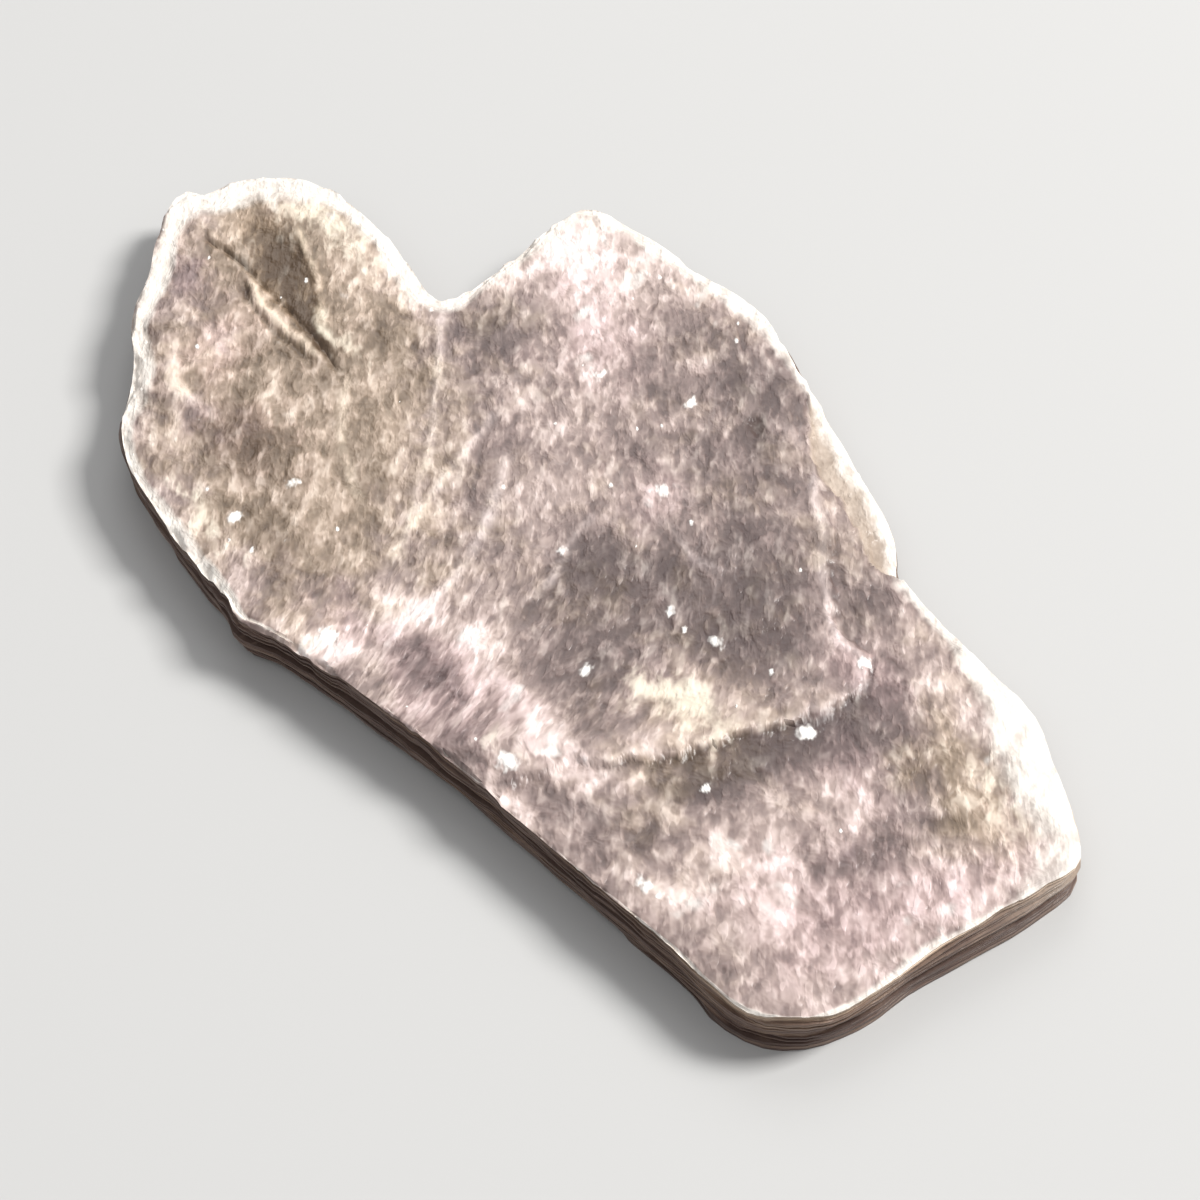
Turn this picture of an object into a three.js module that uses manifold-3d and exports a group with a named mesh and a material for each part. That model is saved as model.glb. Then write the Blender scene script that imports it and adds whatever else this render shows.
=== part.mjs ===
// Mica crystal: one cleavage plate, lying flat on its widest sheet.
// Millimetres, +Z up. X runs from the lobed end (-X) to the square end (+X).
// The origin is the middle of the plate's box, on the surface it rests on.
import * as THREE from "three";
import { mergeVertices } from "three/addons/utils/BufferGeometryUtils.js";
import Module from "manifold-3d";

const wasm = await Module();
wasm.setup();

// Driving dimensions
const plateLength = 95;
const plateWidth = 50.8;
const outlineSteps = 176; // straight steps round each sheet's edge
const raggedDepth = 0.42; // how far an edge is nibbled in from the outline
const lobeReach = 19; // how far from the lobed tip the lower sheets draw back
const splitDepth = 0.9; // the open split in the lobed end
const splitWidth = 1.6;

// The plate's edge, counter-clockwise from above, as points of one smooth closed curve.
const edgePoints = [
  // notch, then along the top of the lobe to its blunt tip
  [-24, 5.2], [-28, 5.6], [-34.5, 6.1], [-38.6, 5.8], [-42, 4.9], [-44.2, 3.3],
  [-45.8, 1.1], [-46.3, -1.4], [-45.7, -3], [-47.1, -4.4], [-45.8, -7],
  // scalloped lower side of the lobe
  [-43.1, -9.5], [-40, -12], [-38, -14.2], [-35.4, -16.3], [-32.4, -17.6], [-29.2, -20.1],
  [-26, -22.6], [-22.2, -23.8],
  // long front edge with one small step
  [-13.7, -24.6], [-6.3, -24.8], [-4.4, -25.2], [-1.2, -23.7], [7.8, -21.4], [17.6, -19.3],
  [27.8, -17.9], [37, -16.5],
  // square end
  [43.5, -15.4], [45.6, -13.6], [46.8, -11.4], [47.1, -8], [46.8, -3], [47, 3], [46.9, 9.6],
  [46, 11.4],
  // back edge, up to the second lobe
  [43.5, 13], [38, 15.5], [34, 17], [27, 16.9], [20.8, 17], [17.8, 18], [15.4, 19.8],
  [6.7, 22.3], [-1.4, 23.9], [-9, 25.1], [-15, 24], [-22.9, 22.6], [-25.6, 21.9],
  [-27, 19.9], [-26.8, 17.8], [-25.6, 14.2], [-24.3, 9.2],
];

// All sheets draw back towards this point, so each one stays a simple outline.
const heart = new THREE.Vector2(-10, -5);

// Places on the edge where some sheets are broken back.
const lobeTip = { x: -46, y: -4, reach: lobeReach };
const backLedge = { x: 9, y: 21.5, reach: 7.5 };
const frostedBevel = { x: 37, y: 15.5, reach: 12 };
const squareEnd = { x: 47, y: -3, reach: 16 };
const secondLobe = { x: -27, y: 21, reach: 9 };
const frontEdge = { x: 8, y: -21.5, reach: 30 };

// The sheets from the bottom up: thickness, and how far each is broken back at each place.
const sheets = [
  { thickness: 0.75, breaks: [[lobeTip, 12], [squareEnd, 2.6], [secondLobe, 3], [frontEdge, 0.9]] },
  { thickness: 0.65, breaks: [[lobeTip, 8.5], [squareEnd, 1.4], [secondLobe, 1.8], [frontEdge, 0.2]] },
  { thickness: 0.6, breaks: [[lobeTip, 4.5], [squareEnd, 0.7], [secondLobe, 0.9]] },
  { thickness: 0.6, breaks: [[lobeTip, 1.8], [frontEdge, 0.5]] },
  { thickness: 0.6, breaks: [[frostedBevel, 1], [backLedge, 0.6]] },
  { thickness: 0.6, breaks: [[frostedBevel, 2.6], [backLedge, 3.6]] },
  { thickness: 0.4, breaks: [[lobeTip, 0.5]] },
];

// The topmost sheet is a film that ends in a curved step across the plate. This is its free
// edge, from the front edge round to the back ledge.
const filmEdge = [
  [20.2, -21], [19.6, -15.8], [20.4, -12], [22.4, -8], [23.2, -4], [25.8, 1.5], [26.2, 6],
  [24.6, 9.7], [21.5, 9.8], [17.6, 11.4], [13.8, 14], [9, 17.4], [4.8, 19.6], [-3.4, 24.6],
];

// The split in the lobed end: a narrow gap that opens from a point and closes again.
const splitLine = [[-42, -6.1], [-37, -4.9], [-31, -4.9], [-26, -5.4], [-21.8, -5.8]];

// Smooth wandering between 0 and 1 that meets itself after one turn; each seed differs.
function wander(turn, seed) {
  const waves = [[7, 0.3], [13, 0.27], [23, 0.22], [41, 0.21]];
  const total = waves.reduce((sum, [count, weight]) => {
    const phase = seed * (1.7 + count * 0.61);
    return sum + weight * Math.sin(turn * count * 2 * Math.PI + phase);
  }, 0);
  return 0.5 + total / 2;
}

function closedCurve(points) {
  const places = points.map(([x, y]) => new THREE.Vector3(x, y, 0));
  return new THREE.CatmullRomCurve3(places, true, "centripetal");
}

// How far a sheet is broken back at a point of the edge: strongest at each named place.
function breakAt(point, breaks) {
  return breaks.reduce((sum, [place, depth]) => {
    const away = Math.hypot(point.x - place.x, point.y - place.y) / place.reach;
    return sum + depth * Math.exp(-away * away);
  }, 0);
}

// One sheet's outline: the plate's edge, nibbled across the edge and broken back to the heart.
function sheetShape(breaks, seed) {
  const curve = closedCurve(edgePoints);
  const corners = [];
  for (let step = 0; step < outlineSteps; step += 1) {
    const turn = step / outlineSteps;
    const edge = curve.getPointAt(turn);
    const along = curve.getTangentAt(turn);
    const nibble = raggedDepth * wander(turn, seed);
    const point = new THREE.Vector2(edge.x - along.y * nibble, edge.y + along.x * nibble);
    const inward = heart.clone().sub(point).normalize();
    corners.push(point.addScaledVector(inward, breakAt(edge, breaks)));
  }
  return new THREE.Shape(corners);
}

// A flat slab of the given outline between two heights.
function slab(shape, bottom, thickness) {
  const geometry = new THREE.ExtrudeGeometry(shape, { depth: thickness, bevelEnabled: false });
  geometry.translate(0, 0, bottom);
  return geometry;
}

function toSolid(geometry) {
  const bare = geometry.clone();
  bare.deleteAttribute("normal");
  bare.deleteAttribute("uv");
  const merged = mergeVertices(bare, 1e-4);
  const vertProperties = new Float32Array(merged.attributes.position.array);
  const triVerts = new Uint32Array(merged.index.array);
  return new wasm.Manifold(new wasm.Mesh({ numProp: 3, vertProperties, triVerts }));
}

function toGeometry(solid) {
  const { vertProperties, triVerts } = solid.getMesh();
  const geometry = new THREE.BufferGeometry();
  geometry.setAttribute("position", new THREE.BufferAttribute(vertProperties, 3));
  geometry.setIndex(new THREE.BufferAttribute(triVerts, 1));
  return geometry;
}

// Everything beyond the film's free edge, to be taken off the top sheet.
function beyondFilm(bottom, thickness) {
  const places = filmEdge.map(([x, y]) => new THREE.Vector2(x, y));
  const freeEdge = new THREE.SplineCurve(places).getSpacedPoints(60);
  const farSide = plateLength;
  const around = [new THREE.Vector2(places.at(-1).x, farSide), new THREE.Vector2(farSide, farSide),
    new THREE.Vector2(farSide, -farSide), new THREE.Vector2(places[0].x, -farSide)];
  return slab(new THREE.Shape([...freeEdge, ...around]), bottom - 1, thickness + 2);
}

// The split: a lens along its line, widest in the middle.
function splitGap(top) {
  const curve = new THREE.SplineCurve(splitLine.map(([x, y]) => new THREE.Vector2(x, y)));
  const steps = 14;
  const near = [];
  const far = [];
  for (let step = 0; step <= steps; step += 1) {
    const turn = step / steps;
    const point = curve.getPointAt(turn);
    const along = curve.getTangentAt(turn);
    const half = (splitWidth / 2) * Math.sin(Math.PI * turn);
    near.push(new THREE.Vector2(point.x + along.y * half, point.y - along.x * half));
    if (step > 0 && step < steps) {
      far.unshift(new THREE.Vector2(point.x - along.y * half, point.y + along.x * half));
    }
  }
  return slab(new THREE.Shape([...near, ...far]), top - splitDepth, splitDepth + 1);
}

function buildPlate() {
  let bottom = 0;
  let plate = null;
  sheets.forEach(({ thickness, breaks }, number) => {
    let sheet = toSolid(slab(sheetShape(breaks, number + 1), bottom, thickness));
    if (number === sheets.length - 1) {
      sheet = sheet.subtract(toSolid(beyondFilm(bottom, thickness)));
    }
    plate = plate ? plate.add(sheet) : sheet;
    bottom += thickness;
  });
  return toGeometry(plate.subtract(toSolid(splitGap(bottom))));
}

// Bring the plate to its driving length and width, centred over the origin.
function fitToSize(geometry) {
  geometry.computeBoundingBox();
  const size = geometry.boundingBox.getSize(new THREE.Vector3());
  const middle = geometry.boundingBox.getCenter(new THREE.Vector3());
  geometry.translate(-middle.x, -middle.y, -geometry.boundingBox.min.z);
  geometry.scale(plateLength / size.x, plateWidth / size.y, 1);
  return geometry;
}

const mica = new THREE.MeshStandardMaterial({ color: 0xa5938e, roughness: 0.42, metalness: 0.0 });

const crystal = new THREE.Mesh(fitToSize(buildPlate()), mica);
crystal.name = "mica_crystal";

const group = new THREE.Group();
group.add(crystal);

export default group;
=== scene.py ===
import math
import bpy
import numpy as np
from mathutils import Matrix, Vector


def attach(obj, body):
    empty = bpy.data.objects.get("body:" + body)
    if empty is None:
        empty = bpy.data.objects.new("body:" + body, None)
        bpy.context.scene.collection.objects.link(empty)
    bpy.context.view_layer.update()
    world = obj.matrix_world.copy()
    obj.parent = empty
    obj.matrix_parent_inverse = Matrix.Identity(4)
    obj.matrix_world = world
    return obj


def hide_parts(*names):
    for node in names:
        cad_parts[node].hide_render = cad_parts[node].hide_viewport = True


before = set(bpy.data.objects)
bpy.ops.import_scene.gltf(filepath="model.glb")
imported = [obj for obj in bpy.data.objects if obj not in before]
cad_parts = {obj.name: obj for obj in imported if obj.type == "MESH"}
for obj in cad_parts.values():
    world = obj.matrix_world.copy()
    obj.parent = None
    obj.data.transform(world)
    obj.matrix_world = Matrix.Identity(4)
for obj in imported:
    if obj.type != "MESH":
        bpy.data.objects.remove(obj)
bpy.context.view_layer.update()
mm = 0.001
print("frame loaded")

studio = {
    "azimuth": 55.0,               # degrees round the plate
    "elevation": 48.0,
    "distance": 0.2364,            # lens to aim point, metres
    "aim": (0.00905, -0.00267, 0.0042),
    "fieldOfView": 20.8,
    "floorSize": 6.0,
    "floorColour": (0.6, 0.6, 0.597, 1.0),
    "worldColour": (1.0, 1.0, 1.0, 1.0),
    "worldStrength": 0.34,
}

# Soft boxes: azimuth and elevation round the plate, how far off, side length, watts and colour.
softBoxes = {
    "keyBox": (160.0, 44.0, 1.3, 0.45, 20.0, (1.0, 0.985, 0.96)),
    "backBox": (-125.0, 42.0, 1.5, 1.0, 5.0, (1.0, 0.99, 0.98)),
    "fillBox": (20.0, 60.0, 1.6, 1.2, 2.5, (0.97, 0.98, 1.0)),
}


# The point that far away at that azimuth and elevation, both in degrees.
def pointAt(azimuth, elevation, away):
    a = math.radians(azimuth)
    e = math.radians(elevation)
    return Vector((math.sin(a) * math.cos(e), -math.cos(a) * math.cos(e), math.sin(e))) * away


# Turns a camera or a lamp so that it faces the target.
def lookAt(thing, target):
    thing.rotation_euler = (thing.location - target).to_track_quat("Z", "Y").to_euler()


# The camera, the soft boxes and the pale surroundings.
def makeStudio():
    aim = Vector(studio["aim"])
    lens = bpy.data.cameras.new("studioCamera")
    lens.angle = math.radians(studio["fieldOfView"])
    lens.clip_start = 0.01
    lens.clip_end = 20.0
    camera = bpy.data.objects.new("studioCamera", lens)
    bpy.context.collection.objects.link(camera)
    camera.location = aim + pointAt(studio["azimuth"], studio["elevation"], studio["distance"])
    lookAt(camera, aim)
    bpy.context.scene.camera = camera
    for name, (azimuth, elevation, away, side, watts, colour) in softBoxes.items():
        lamp = bpy.data.lights.new(name, "AREA")
        lamp.shape = "SQUARE"
        lamp.size = side
        lamp.energy = watts
        lamp.color = colour
        box = bpy.data.objects.new(name, lamp)
        bpy.context.collection.objects.link(box)
        box.location = aim + pointAt(azimuth, elevation, away)
        lookAt(box, aim)
    world = bpy.data.worlds.new("paleRoom")
    world.use_nodes = True
    background = world.node_tree.nodes["Background"]
    background.inputs["Color"].default_value = studio["worldColour"]
    background.inputs["Strength"].default_value = studio["worldStrength"]
    bpy.context.scene.world = world
    bpy.context.scene.view_settings.view_transform = "Standard"


# One wide pale square under the plate.
def makeFloor():
    half = studio["floorSize"] / 2
    mesh = bpy.data.meshes.new("studioFloor")
    corners = [(-half, -half, 0), (half, -half, 0), (half, half, 0), (-half, half, 0)]
    mesh.from_pydata(corners, [], [(0, 1, 2, 3)])
    floor = bpy.data.objects.new("studioFloor", mesh)
    bpy.context.collection.objects.link(floor)
    material = bpy.data.materials.new("paleFloor")
    material.use_nodes = True
    shader = material.node_tree.nodes["Principled BSDF"]
    shader.inputs["Base Color"].default_value = studio["floorColour"]
    shader.inputs["Roughness"].default_value = 0.9
    shader.inputs["Specular IOR Level"].default_value = 0.1
    mesh.materials.append(material)


makeStudio()
makeFloor()
print("studio ready")

# Everything below is in millimetres in the plate's own frame, and in degrees.
crystal = {
    "borderPoints": 720,           # points round the edge, even on each long side
    "spineHalf": 26.0,             # the rings close on a line this long each way from the middle
    "spineY": -3.0,
    "rayAcross": (60.0, 40.0),     # half axes of the ellipse that the rays aim at
    "rimOffsets": (0.0, 0.1, 0.22, 0.36, 0.54, 0.78, 1.1, 1.5),   # the outermost rings, by depth in
    "outerRings": 38,
    "innerRings": 26,
    "halvingAt": 0.45,             # inside this share of the way, a ring has half the points
    "closeAt": 0.06,               # here the rings end, and a ladder fills the middle
    "ladderRows": 8,
    "underRings": 18,
    "underLadderRows": 6,
    "underInsets": (0.5, 1.2),     # depth in of the underside's two outermost rings
    "sheetLaminae": (3, 4, 4, 4, 4, 4),   # fine layers in each thick sheet, bottom up
    "uneven": 0.22,                # share by which a fine layer is thicker or thinner
    "raggedness": 0.22,            # how far a fine layer's edge is nibbled in
    "parting": 0.5,                # how far in it lies where a piece of it has come off
    "tuck": 0.02,                  # how much further in its lower edge is than its upper one
    "ledgeSlope": 0.15,            # half width of the drop where a sheet has broken off
    "patchFar": 4.5,               # how far the outlines of the patches wander
    "tornFar": 3.4,                # the same for torn edges, before they are made finer by
    "tornFiner": 1.9,
    "warp": 0.2,                   # slow waves of the whole face
    "ripple": 0.13,                # ridges that run with the grain
    "pebble": 0.07,                # small bumps
    "flakeStep": 0.045,            # height of the scaly steps, and how many there are in all
    "flakeSteps": 9,
    "speckHeight": 0.07,
    "underMargin": 0.6,            # the underside is quite flat this far in
    "underRipple": 0.03,
    # films that have come off underneath: where in the noise the edge rises, and the thickness
    "underFilms": [(0.5, 0.515, 0.12), (0.58, 0.592, 0.1)],
    "sharpAngle": 38,              # edges bent more than this stay sharp
}

# Ovals are x, y, half length, half width, the turn of the long axis and a strength. On the bevel
# the upper sheets are worn down to a slope; on the ledge they have snapped off and left a terrace.
wornSides = {
    "bevel": [(36.5, 13.5, 12.0, 5.5, -16, 1.3)],
    "ledge": [(7.5, 20.5, 9.5, 4.0, -25, 1.6)],
    "bevelSlopes": (0.75, 1.85),   # half widths of the slopes of the two upper sheets
    "frostWidth": 1.0,             # how far in from the edge the bevel is frosted
    "frostWider": [(38, 13, 8, 6, -25, 3.2)],          # millimetres that this oval adds
    "spare": 0.9,                  # elsewhere the upper sheets are taken to reach this far past the edge
    "ledgeMore": [(15.5, 17.2, 3.6, 2.2, -12, 2.0)],   # millimetres that the ledge is wider here
}

# The thin film on top, which ends in a curved step across the plate.
film = {
    "slope": 0.2,                  # half width of the step
    "pushed": [(24, -6, 4, 5, 0, 1.1)],                # moves the step right by that much
    "crossing": ((15, 19), (-14, -9), (8, 11)),        # it shows from these x and y on, to these y
    "lip": (0.4, 0.4, 0.3),        # depth in, half width and paleness of the line above the step
    "footShade": (-0.32, 0.3, -0.85),   # the same for the dark line below it, painted shade at the foot of the step
    "shadeFar": 3.2,                # how far past the step the face is darkened by painted shade
}

# Dents in the face: an oval, the depth, and where on the oval's bell the wall begins and ends.
dents = {
    "hollow": ((-35, -3.1, 6.4, 2.0, -12), 0.28, 0.15, 0.9),
    "nick": ((1.4, 17.2, 1.1, 0.8, -10), 0.25, 0.3, 0.8),
}

# Lines on the top face: their points, width, height (minus is a groove) and paleness.
faceLines = {
    # split, splitHead and splitTail are dark with painted shade inside the crack; splitShade is partly
    # painted shade under the lip
    "split": ([(-42.2, -6.3), (-39.7, -5.6), (-36.5, -5.2), (-31, -5.1), (-26, -5.2), (-21.8, -5.8)],
              0.24, -0.24, -0.18),
    "splitHead": ([(-42.0, -6.2), (-39.6, -5.6), (-37.0, -5.1), (-34.6, -5.0)], 0.34, -0.1, -0.8),
    "splitTail": ([(-28.6, -4.9), (-25.4, -5.1), (-23.4, -5.3), (-21.0, -5.6)], 0.5, -0.12, -0.85),
    "splitLip": ([(-35.6, -5.5), (-33.2, -6.2), (-29.8, -6.5), (-26.4, -6.2), (-23.6, -5.9)],
                 0.37, 0.15, 0.95),
    "splitShade": ([(-36, -5.9), (-33.6, -6.9), (-30.6, -7.2), (-27.4, -7.0), (-23.8, -6.7)],
                   0.24, -0.2, -1.15),
    "splitFar": ([(-38.6, 0.6), (-35.4, -0.4), (-32.6, -1.4), (-29.4, -2.9), (-26, -4)],
                 0.36, 0.1, 0.8),
    "farShade": ([(-36.8, -0.5), (-33.6, -1.3), (-31.2, -2.2), (-28.6, -3.5)], 0.27, -0.12, -0.95),
    "lobeRidge": ([(-29.9, -8.2), (-29.6, -11.8), (-29, -14), (-28.7, -16)], 0.55, 0.13, 0.5),
    "lobeSpur": ([(-31.2, -15.4), (-29.3, -16.2), (-27.2, -16.6), (-24.6, -16.2)], 0.52, 0.17, 1.3),
    "foldOne": ([(-23.5, 5.2), (-16.3, -0.2), (-10.2, -5.2), (-5.3, -10), (-2.2, -13.4)],
                0.32, 0.12, 0.72),
    "foldTwo": ([(-11.4, 2.6), (-8.4, -3.6), (-5.7, -8.5), (-4.6, -11)], 0.3, 0.1, 0.7),
    "foldThree": ([(-7.2, 0.4), (-4.1, -3), (-0.1, -7.6), (2, -12.1), (2.6, -15), (4.3, -18.6)],
                  0.34, 0.12, 0.72),
    "foldFour": ([(1.4, 2.2), (3.2, -1), (5.2, -4.3), (6.4, -8)], 0.26, 0.07, 0.6),
    "foldFive": ([(4.4, 5.3), (6.9, 5.7), (9.8, 5.4), (13, 6.4)], 0.26, 0.07, 0.5),
    "foldSix": ([(-21.5, -4.8), (-18.6, -7.4), (-14.5, -9.9), (-9, -11.7)], 0.34, 0.08, 0.6),
    "foldShade": ([(-8.6, -0.6), (-5.3, -4.2), (-1.4, -8.6), (0.7, -12.6)], 0.3, -0.06, -0.45),
    "rightThread": ([(7.4, 18.4), (9.1, 16.8), (12.7, 14.7), (16.5, 11.9), (20.9, 9.7), (24.6, 9.2)],
                    0.32, 0.03, 0.62),
}

# Coloured patches of the top face: an oval each, and a strength.
facePatches = {
    "light": [
        (-21.5, 18.8, 7.0, 4.6, 8, 0.85), (-12.5, 22.6, 6.0, 2.0, 3, 0.75),
        (-14.5, 14.2, 6.5, 2.4, -30, 0.6), (-10.4, 10.8, 2.8, 1.3, -30, 0.6), (-9, 17, 4, 3, 0, 0.35),
        (-15.4, 19, 2.6, 1.5, -20, 0.35), (-7.6, 16.4, 3, 1.2, -25, 0.3), (-23.4, 11, 1.4, 5.5, 3, 1.0),
        (3, 7, 2.6, 1.6, 0, 0.55), (1.6, -20.8, 3.2, 2.0, 10, 1.3), (2.8, -15.2, 2.4, 2.6, 0, 1.0),
        (6.2, -12.4, 3, 2, 20, 0.85), (11, -13.6, 4, 1.8, 10, 0.75), (18, -12.6, 4.6, 1.9, 8, 0.95),
        (9, -19.2, 5, 1.6, 12, 0.5), (21.2, -18.4, 1.8, 1.1, 0, 1.0), (17.8, -16.2, 1.6, 1.1, 0, 0.7),
        (20.8, -2.8, 3.6, 2.6, 20, 0.95), (22, -7, 1.8, 3.4, 0, 0.6), (34.8, -6.8, 4.4, 3.6, -20, 0.75),
        (33, -13, 4.2, 2.4, 20, 0.55), (41, -9.4, 5, 5, 0, 0.45), (34, 0.8, 2.4, 1.5, 30, 0.6),
        (42, 1, 4, 4, 0, 0.5), (45, 0, 1.8, 9, 0, 0.55), (40, 8, 7, 2.4, -28, 0.6),
        (31, 13.4, 7, 1.8, -8, 0.5), (24.6, 8.6, 2.2, 1.4, 0, 0.55), (-31, 1.8, 8, 2.4, -8, 0.22),
        (-43, -1, 3.4, 3.6, 0, 0.7), (-42.6, -5, 1.8, 2.4, 0, 0.5), (-36, 3.6, 8, 2, 4, 0.7),
        (-26, 3.4, 3.8, 1.6, 0, 0.6), (-26, -3.4, 3.6, 1.0, -12, 0.75),
        (-19, -11, 4, 3, -35, 0.35), (-30, -11.5, 7.5, 5.0, 100, 0.35), (-12, -23.4, 9, 1.4, -2, 0.6),
        (-8, -8, 4, 2.4, -40, 0.35), (-7, -15, 4, 3, 0, 0.3), (-4, 4, 6, 3, -35, 0.15),
        (14, 14, 5, 2, -20, 0.2)],
    # dusk: darker patches of the plate's colour; those from x 24 to 28, along the film's step, are painted
    # shade
    "dusk": [
        (-4, 18.8, 6.0, 3.4, -8, 0.62), (3.6, 16.4, 4.0, 2.2, -25, 0.4), (-18, 8.4, 3.6, 2.8, -35, 0.5),
        (6.4, -2.6, 5.4, 3.6, 100, 0.66), (10, 3, 4.4, 3, -30, 0.5), (11.6, 9, 4.6, 3.2, 0, 0.6),
        (17.6, 6.4, 4.6, 3.6, 30, 0.9), (15, 14, 3.0, 1.2, -25, 0.5), (27.4, -1, 2.0, 3.4, 0, 0.7),
        (26.5, -6.4, 1.6, 4.2, 8, 0.75), (27.5, -12.5, 1.6, 1.6, 0, 0.6), (30.6, 6.6, 4.0, 2.6, 0, 0.65),
        (37.6, -2.2, 1.6, 2.4, 0, 0.7), (38.5, 5.0, 4.4, 1.9, -5, 0.4), (-28, -19, 1.8, 1.0, 0, 0.8),
        (-20, -15.6, 4.6, 2.4, 20, 0.7), (-38, -9, 3.4, 2.0, -15, 0.6), (-36, -2.6, 6.4, 2.2, -12, 1.6),
        (-30, -4.4, 4.6, 0.9, -8, 1.2), (-34.5, 2.2, 1.6, 0.9, 0, 0.5), (14, -18, 3.0, 1.2, 12, 0.35),
        (24, -15, 2.4, 1.8, 8, 0.5), (-11.5, -17.4, 4, 2.2, -10, 0.35), (20.4, 13.0, 3.6, 1.4, -20, 0.45),
        (14, -5, 4.0, 3.4, 0, 0.45), (-2, 9.5, 4.5, 2, 143, 0.3), (-12, 0.6, 3.4, 1.4, 143, 0.3),
        (1, 12.5, 4, 1.4, -25, 0.3), (-31.3, 2.3, 1.7, 1.0, 0, 0.5), (-21, -8.5, 2.4, 1.4, -30, 0.4),
        (9, -16.4, 3.2, 1.3, 15, 0.45), (12, 2, 9, 7, -20, 0.27)],
    "cream": [
        (20.8, -2.9, 4.0, 2.6, 20, 1.0), (-38, 2.6, 7, 2.6, 10, 0.7), (-26, -3.4, 4, 1.2, -12, 0.8),
        (17.4, -15.4, 3, 1.4, 10, 0.4), (38, 9.5, 8, 3, -24, 0.5), (-16, -22.6, 8, 1.6, 0, 0.5)],
    "rose": [
        (41, -5, 6.5, 6.0, 60, 0.8), (44, 3.5, 3, 5, 0, 0.6), (25.4, 8.6, 3, 2.2, 0, 0.9),
        (-14, 14, 8, 4, -20, 0.5), (8, -15.5, 5, 3, 20, 0.6), (-29.6, -11.5, 5, 3, 95, 0.7),
        (31, 3, 5, 4, 0, 0.5), (3, 6.6, 3, 2.4, 0, 0.6), (0, -18, 4, 2.4, 0, 0.5),
        (-20, -15.6, 4.6, 2.6, 20, 0.9), (-38, -9, 4, 2.4, -15, 0.5), (12, -17, 6, 3, 12, 0.6)],
    "khaki": [
        (-13, -15, 11, 8, -8, 1.0), (-22, -6, 8, 8, -20, 0.7), (-35, -2.4, 10, 7, -5, 1.1),
        (-30, -14, 6, 6, 0, 0.5), (38, 7.5, 7, 3, -15, 0.8), (22, -4, 4, 5, 0, 0.6)],
    # glint: painted highlights, white in the colour, on small raised spots
    "glint": [
        (2.7, 7.5, 0.9, 0.5, -30, 1.0), (17.7, -16.5, 1.0, 0.8, 0, 1.0), (27.3, 2.3, 0.75, 0.7, 0, 1.2),
        (-13.2, -20.1, 0.7, 0.6, 0, 1.0), (-3.7, 14.8, 0.6, 0.45, 100, 1.0), (24.6, 9.4, 0.7, 0.7, 0, 0.9),
        (14, -7.3, 0.8, 0.5, 120, 0.8), (3.5, -2.2, 0.7, 0.4, 120, 0.8), (17.1, 1.8, 0.7, 0.55, 0, 0.8),
        (-13.6, -14.7, 0.6, 0.5, 40, 0.8), (0.8, -20.6, 1.1, 0.7, 0, 1.0), (3.2, -14.4, 0.6, 0.9, 0, 0.7),
        (-10.1, 10.7, 0.6, 0.9, 0, 0.8), (31.7, -15, 0.8, 0.7, 0, 0.9), (12.9, 0.8, 0.7, 0.35, -35, 0.9),
        (27.2, -6.5, 0.8, 0.4, 100, 0.8)],
}

# The pale worn rim, partly painted light shining through its thin edge: its usual width, and ovals with the
# width each adds.
rim = {
    "width": 0.03,
    "wider": [
        (-45, 2, 5, 5, 30, 3.4), (-46.5, -4, 3, 4, 0, 1.8), (-41, -12, 4, 3, -35, 1.3),
        (-34, 7, 7, 3, -5, 2.2), (-26, 6, 4, 3, 0, 2.2), (-25.5, 15, 3, 7, 0, 1.4),
        (-21, 23, 6, 2.5, 5, 1.5), (-10, 24.8, 10, 2.4, -2, 1.9), (-31, -20, 7, 4, -35, 1.6),
        (-14, -25, 8, 2.5, 0, 1.0), (47, 0, 2.5, 9, 0, 0.8), (6, 22.3, 9, 3, -21, 1.7),
        (15, 19.6, 4, 3, -24, 1.0), (24, 16.4, 5, 2, -4, 1.3), (41, -17, 6, 4, 10, 0.2)],
    "steps": 3,                    # thin films that end one inside another in the rim
    "drop": 0.2,                   # height of those steps together
}


# A CAD node's triangles, one row of three corners each.
def cadTriangles(node):
    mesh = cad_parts[node].data
    places = np.empty(len(mesh.vertices) * 3)
    mesh.vertices.foreach_get("co", places)
    corners = np.empty(len(mesh.loops), dtype=np.int64)
    mesh.loops.foreach_get("vertex_index", corners)
    return places.reshape(-1, 3)[corners].reshape(-1, 3, 3) / mm


# Where a level plane cuts the triangles: each one it crosses gives one straight piece.
def sliceAt(triangles, height):
    ahead = np.roll(triangles, -1, axis=1)
    low, high = triangles[..., 2], ahead[..., 2]
    cut = (low > height) != (high > height)
    share = (height - low) / np.where(cut, high - low, 1.0)
    places = triangles + (ahead - triangles) * share[..., None]
    return places[cut].reshape(-1, 2, 3)[..., :2]


# How far each ray goes to its furthest crossing with the straight pieces.
def reachAlong(pieces, origins, headings):
    start = pieces[None, :, 0]
    run = pieces[None, :, 1] - start
    gap = start - origins[:, None]
    heading = headings[:, None]
    across = heading[..., 0] * run[..., 1] - heading[..., 1] * run[..., 0]
    across = np.where(np.abs(across) < 1e-9, 1e-9, across)
    along = (gap[..., 0] * run[..., 1] - gap[..., 1] * run[..., 0]) / across
    share = (gap[..., 0] * heading[..., 1] - gap[..., 1] * heading[..., 0]) / across
    hit = (share >= -1e-6) & (share <= 1 + 1e-6) & (along > 0)
    return np.where(hit, along, 0).max(axis=1)


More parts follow.
